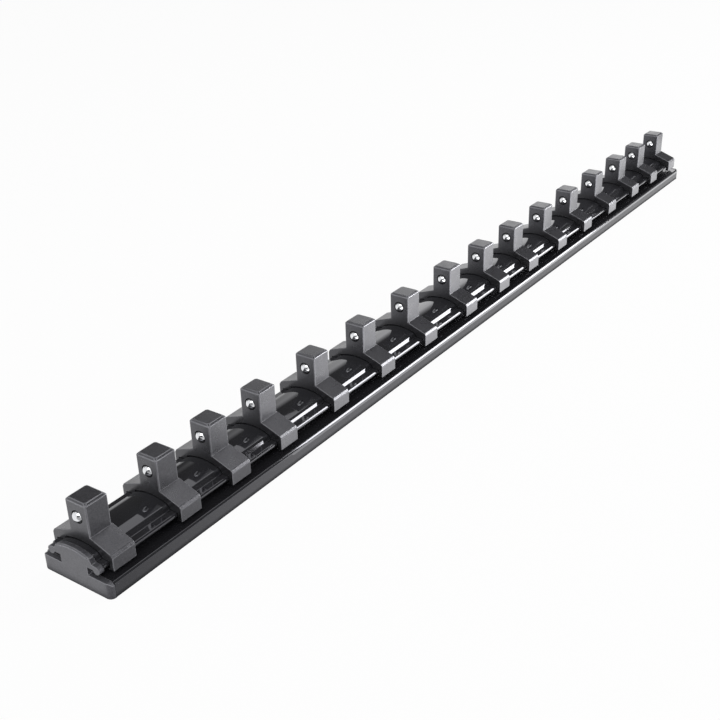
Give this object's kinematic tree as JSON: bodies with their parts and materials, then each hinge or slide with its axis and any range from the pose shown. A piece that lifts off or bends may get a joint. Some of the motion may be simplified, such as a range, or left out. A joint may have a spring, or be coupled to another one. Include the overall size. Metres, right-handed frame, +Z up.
{
  "type": "socket rail",
  "caption": "Long domed T-rail with a flat base that carries sliding clips, each with a square drive post and a sprung detent ball that holds a socket.",
  "frame": {"origin": "middle of the rail's flat underside", "axes": "+X along the rail, away from the ends' side that the detent balls face; +Z up"},
  "size_m": [0.662, 0.0422, 0.0395],
  "materials": {
    "rail": "gloss black",
    "end_cap": "matte dark grey",
    "clip": "satin dark grey",
    "ball": "polished",
    "spring": "drawn wire"
  },
  "bodies": {
    "rail": {"rail": "rail", "end_cap_near": "end_cap", "end_cap_far": "end_cap"},
    "clip_01": {"clip_01": "clip", "spring_01": "spring"},
    "ball_01": {"ball_01": "ball"},
    "clip_02": {"clip_02": "clip", "spring_02": "spring"},
    "ball_02": {"ball_02": "ball"},
    "clip_03": {"clip_03": "clip", "spring_03": "spring"},
    "ball_03": {"ball_03": "ball"},
    "clip_04": {"clip_04": "clip", "spring_04": "spring"},
    "ball_04": {"ball_04": "ball"},
    "clip_05": {"clip_05": "clip", "spring_05": "spring"},
    "ball_05": {"ball_05": "ball"},
    "clip_06": {"clip_06": "clip", "spring_06": "spring"},
    "ball_06": {"ball_06": "ball"},
    "clip_07": {"clip_07": "clip", "spring_07": "spring"},
    "ball_07": {"ball_07": "ball"},
    "clip_08": {"clip_08": "clip", "spring_08": "spring"},
    "ball_08": {"ball_08": "ball"},
    "clip_09": {"clip_09": "clip", "spring_09": "spring"},
    "ball_09": {"ball_09": "ball"},
    "clip_10": {"clip_10": "clip", "spring_10": "spring"},
    "ball_10": {"ball_10": "ball"},
    "clip_11": {"clip_11": "clip", "spring_11": "spring"},
    "ball_11": {"ball_11": "ball"},
    "clip_12": {"clip_12": "clip", "spring_12": "spring"},
    "ball_12": {"ball_12": "ball"},
    "clip_13": {"clip_13": "clip", "spring_13": "spring"},
    "ball_13": {"ball_13": "ball"},
    "clip_14": {"clip_14": "clip", "spring_14": "spring"},
    "ball_14": {"ball_14": "ball"},
    "clip_15": {"clip_15": "clip", "spring_15": "spring"},
    "ball_15": {"ball_15": "ball"},
    "clip_16": {"clip_16": "clip", "spring_16": "spring"},
    "ball_16": {"ball_16": "ball"}
  },
  "joints": [
    {"name": "clip_01_slide", "type": "slide", "parent": "rail", "child": "clip_01", "axis": [1, 0, 0], "range_m": [-0.00562, 0.02602]},
    {"name": "ball_01_press", "type": "slide", "parent": "clip_01", "child": "ball_01", "axis": [1, 0, 0], "range_m": [0, 0.00165], "stiffness_N_per_m": 4000, "deforming": ["spring_01"]},
    {"name": "clip_02_slide", "type": "slide", "parent": "rail", "child": "clip_02", "axis": [1, 0, 0], "range_m": [-0.02602, 0.01953]},
    {"name": "ball_02_press", "type": "slide", "parent": "clip_02", "child": "ball_02", "axis": [1, 0, 0], "range_m": [0, 0.00165], "stiffness_N_per_m": 4000, "deforming": ["spring_02"]},
    {"name": "clip_03_slide", "type": "slide", "parent": "rail", "child": "clip_03", "axis": [1, 0, 0], "range_m": [-0.01953, 0.02124]},
    {"name": "ball_03_press", "type": "slide", "parent": "clip_03", "child": "ball_03", "axis": [1, 0, 0], "range_m": [0, 0.00165], "stiffness_N_per_m": 4000, "deforming": ["spring_03"]},
    {"name": "clip_04_slide", "type": "slide", "parent": "rail", "child": "clip_04", "axis": [1, 0, 0], "range_m": [-0.02124, 0.0294]},
    {"name": "ball_04_press", "type": "slide", "parent": "clip_04", "child": "ball_04", "axis": [1, 0, 0], "range_m": [0, 0.00165], "stiffness_N_per_m": 4000, "deforming": ["spring_04"]},
    {"name": "clip_05_slide", "type": "slide", "parent": "rail", "child": "clip_05", "axis": [1, 0, 0], "range_m": [-0.0294, 0.02958]},
    {"name": "ball_05_press", "type": "slide", "parent": "clip_05", "child": "ball_05", "axis": [1, 0, 0], "range_m": [0, 0.00165], "stiffness_N_per_m": 4000, "deforming": ["spring_05"]},
    {"name": "clip_06_slide", "type": "slide", "parent": "rail", "child": "clip_06", "axis": [1, 0, 0], "range_m": [-0.02958, 0.03048]},
    {"name": "ball_06_press", "type": "slide", "parent": "clip_06", "child": "ball_06", "axis": [1, 0, 0], "range_m": [0, 0.00165], "stiffness_N_per_m": 4000, "deforming": ["spring_06"]},
    {"name": "clip_07_slide", "type": "slide", "parent": "rail", "child": "clip_07", "axis": [1, 0, 0], "range_m": [-0.03048, 0.03283]},
    {"name": "ball_07_press", "type": "slide", "parent": "clip_07", "child": "ball_07", "axis": [1, 0, 0], "range_m": [0, 0.00165], "stiffness_N_per_m": 4000, "deforming": ["spring_07"]},
    {"name": "clip_08_slide", "type": "slide", "parent": "rail", "child": "clip_08", "axis": [1, 0, 0], "range_m": [-0.03283, 0.0276]},
    {"name": "ball_08_press", "type": "slide", "parent": "clip_08", "child": "ball_08", "axis": [1, 0, 0], "range_m": [0, 0.00165], "stiffness_N_per_m": 4000, "deforming": ["spring_08"]},
    {"name": "clip_09_slide", "type": "slide", "parent": "rail", "child": "clip_09", "axis": [1, 0, 0], "range_m": [-0.0276, 0.02638]},
    {"name": "ball_09_press", "type": "slide", "parent": "clip_09", "child": "ball_09", "axis": [1, 0, 0], "range_m": [0, 0.00165], "stiffness_N_per_m": 4000, "deforming": ["spring_09"]},
    {"name": "clip_10_slide", "type": "slide", "parent": "rail", "child": "clip_10", "axis": [1, 0, 0], "range_m": [-0.02638, 0.02958]},
    {"name": "ball_10_press", "type": "slide", "parent": "clip_10", "child": "ball_10", "axis": [1, 0, 0], "range_m": [0, 0.00165], "stiffness_N_per_m": 4000, "deforming": ["spring_10"]},
    {"name": "clip_11_slide", "type": "slide", "parent": "rail", "child": "clip_11", "axis": [1, 0, 0], "range_m": [-0.02958, 0.02751]},
    {"name": "ball_11_press", "type": "slide", "parent": "clip_11", "child": "ball_11", "axis": [1, 0, 0], "range_m": [0, 0.00165], "stiffness_N_per_m": 4000, "deforming": ["spring_11"]},
    {"name": "clip_12_slide", "type": "slide", "parent": "rail", "child": "clip_12", "axis": [1, 0, 0], "range_m": [-0.02751, 0.02958]},
    {"name": "ball_12_press", "type": "slide", "parent": "clip_12", "child": "ball_12", "axis": [1, 0, 0], "range_m": [0, 0.00165], "stiffness_N_per_m": 4000, "deforming": ["spring_12"]},
    {"name": "clip_13_slide", "type": "slide", "parent": "rail", "child": "clip_13", "axis": [1, 0, 0], "range_m": [-0.02958, 0.03008]},
    {"name": "ball_13_press", "type": "slide", "parent": "clip_13", "child": "ball_13", "axis": [1, 0, 0], "range_m": [0, 0.00165], "stiffness_N_per_m": 4000, "deforming": ["spring_13"]},
    {"name": "clip_14_slide", "type": "slide", "parent": "rail", "child": "clip_14", "axis": [1, 0, 0], "range_m": [-0.03008, 0.02399]},
    {"name": "ball_14_press", "type": "slide", "parent": "clip_14", "child": "ball_14", "axis": [1, 0, 0], "range_m": [0, 0.00165], "stiffness_N_per_m": 4000, "deforming": ["spring_14"]},
    {"name": "clip_15_slide", "type": "slide", "parent": "rail", "child": "clip_15", "axis": [1, 0, 0], "range_m": [-0.02399, 0.02449]},
    {"name": "ball_15_press", "type": "slide", "parent": "clip_15", "child": "ball_15", "axis": [1, 0, 0], "range_m": [0, 0.00165], "stiffness_N_per_m": 4000, "deforming": ["spring_15"]},
    {"name": "clip_16_slide", "type": "slide", "parent": "rail", "child": "clip_16", "axis": [1, 0, 0], "range_m": [-0.02449, 0.0035]},
    {"name": "ball_16_press", "type": "slide", "parent": "clip_16", "child": "ball_16", "axis": [1, 0, 0], "range_m": [0, 0.00165], "stiffness_N_per_m": 4000, "deforming": ["spring_16"]}
  ]
}
